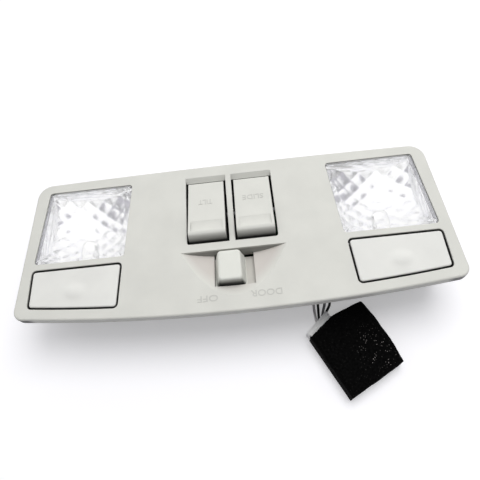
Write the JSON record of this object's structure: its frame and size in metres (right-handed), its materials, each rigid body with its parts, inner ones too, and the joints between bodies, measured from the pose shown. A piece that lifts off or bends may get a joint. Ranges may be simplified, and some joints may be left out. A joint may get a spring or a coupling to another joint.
{
  "type": "car dome light",
  "caption": "Overhead car console with a clear map light and push button at each end, rocker switches, a slide switch in a scoop, and a short pigtail wrapped in foam.",
  "frame": {"origin": "under the middle of the bezel, on the surface that the back of the housing rests on", "axes": "+X along the console towards the pigtail's side, +Y towards the rockers' far end, +Z out of the face"},
  "size_m": [0.2274, 0.1292, 0.0426],
  "materials": {
    "bezel_plastic": "fine moulded grain, light warm grey",
    "housing_plastic": "plain moulded, dark grey",
    "clear_lens": "clear and glossy",
    "mirror_coat": "bright metallised coat",
    "bulb_glass": "clear glass",
    "socket_plastic": "plain moulded",
    "button_plastic": "satin, light warm grey",
    "rocker_plastic": "satin, light warm grey",
    "knob_plastic": "satin, light warm grey",
    "switch_plastic": "plain moulded, black",
    "steel": "plain",
    "brass": "plain strip",
    "board": "green board",
    "grommet_rubber": "matt black",
    "white_cover": "soft wire cover",
    "grey_cover": "soft wire cover",
    "black_cover": "soft wire cover",
    "connector_plastic": "plain moulded, off-white",
    "black_foam": "matt black foam with white lint"
  },
  "bodies": {
    "console": {"bezel": "bezel_plastic", "rear_housing": "housing_plastic", "left_lens": "clear_lens", "right_lens": "clear_lens", "left_reflector": "mirror_coat", "right_reflector": "mirror_coat", "left_bulb": "bulb_glass", "right_bulb": "bulb_glass", "left_bulb_socket": "socket_plastic", "right_bulb_socket": "socket_plastic", "left_switch_body": "switch_plastic", "right_switch_body": "switch_plastic", "rocker_shaft": "steel", "rocker_switch_base": "switch_plastic", "slide_switch_base": "switch_plastic", "circuit_board": "board", "left_bus_bar": "brass", "right_bus_bar": "brass", "housing_screws": "steel", "wire_grommet": "grommet_rubber", "white_wire": "white_cover", "grey_wire": "grey_cover", "black_wire_one": "black_cover", "black_wire_two": "black_cover", "harness_connector": "connector_plastic", "foam_wrap": "black_foam"},
    "left_button": {"left_button": "button_plastic"},
    "right_button": {"right_button": "button_plastic"},
    "left_plunger": {"left_plunger": "switch_plastic"},
    "right_plunger": {"right_plunger": "switch_plastic"},
    "tilt_rocker": {"tilt_rocker": "rocker_plastic"},
    "slide_rocker": {"slide_rocker": "rocker_plastic"},
    "tilt_carriage": {"tilt_contact_carriage": "switch_plastic"},
    "slide_carriage": {"slide_contact_carriage": "switch_plastic"},
    "slider": {"slider_knob": "knob_plastic", "slider_contact": "brass"}
  },
  "joints": [
    {"name": "left_button_press", "type": "hinge", "parent": "console", "child": "left_button", "pos_m": [-0.083, -0.0134, 0.0326], "axis": [1, 0, 0], "range_deg": [0, 5], "stiffness_Nm_per_rad": 0.5, "springref_deg": -1.72},
    {"name": "left_plunger_travel", "type": "slide", "parent": "console", "child": "left_plunger", "axis": [0, 0, -1], "range_m": [0, 0.0012]},
    {"name": "right_button_press", "type": "hinge", "parent": "console", "child": "right_button", "pos_m": [0.083, -0.0134, 0.0326], "axis": [1, 0, 0], "range_deg": [0, 5], "stiffness_Nm_per_rad": 0.5, "springref_deg": -1.72},
    {"name": "right_plunger_travel", "type": "slide", "parent": "console", "child": "right_plunger", "axis": [0, 0, -1], "range_m": [0, 0.0012]},
    {"name": "tilt_rocker_tip", "type": "hinge", "parent": "console", "child": "tilt_rocker", "pos_m": [-0.0128, 0.016, 0.028], "axis": [1, 0, 0], "range_deg": [-5, 5], "stiffness_Nm_per_rad": 0.5},
    {"name": "tilt_carriage_travel", "type": "slide", "parent": "console", "child": "tilt_carriage", "axis": [0, 1, 0], "range_m": [-0.0013, 0.0013]},
    {"name": "slide_rocker_tip", "type": "hinge", "parent": "console", "child": "slide_rocker", "pos_m": [0.0128, 0.016, 0.028], "axis": [1, 0, 0], "range_deg": [-5, 5], "stiffness_Nm_per_rad": 0.5},
    {"name": "slide_carriage_travel", "type": "slide", "parent": "console", "child": "slide_carriage", "axis": [0, 1, 0], "range_m": [-0.0013, 0.0013]},
    {"name": "slider_travel", "type": "slide", "parent": "console", "child": "slider", "axis": [1, 0, 0], "range_m": [0, 0.0044]}
  ],
  "couplings": [
    {"joint": "left_plunger_travel", "follows": "left_button_press", "m_per_rad": 0.0131},
    {"joint": "right_plunger_travel", "follows": "right_button_press", "m_per_rad": 0.0131},
    {"joint": "tilt_carriage_travel", "follows": "tilt_rocker_tip", "m_per_rad": 0.014},
    {"joint": "slide_carriage_travel", "follows": "slide_rocker_tip", "m_per_rad": 0.014}
  ]
}
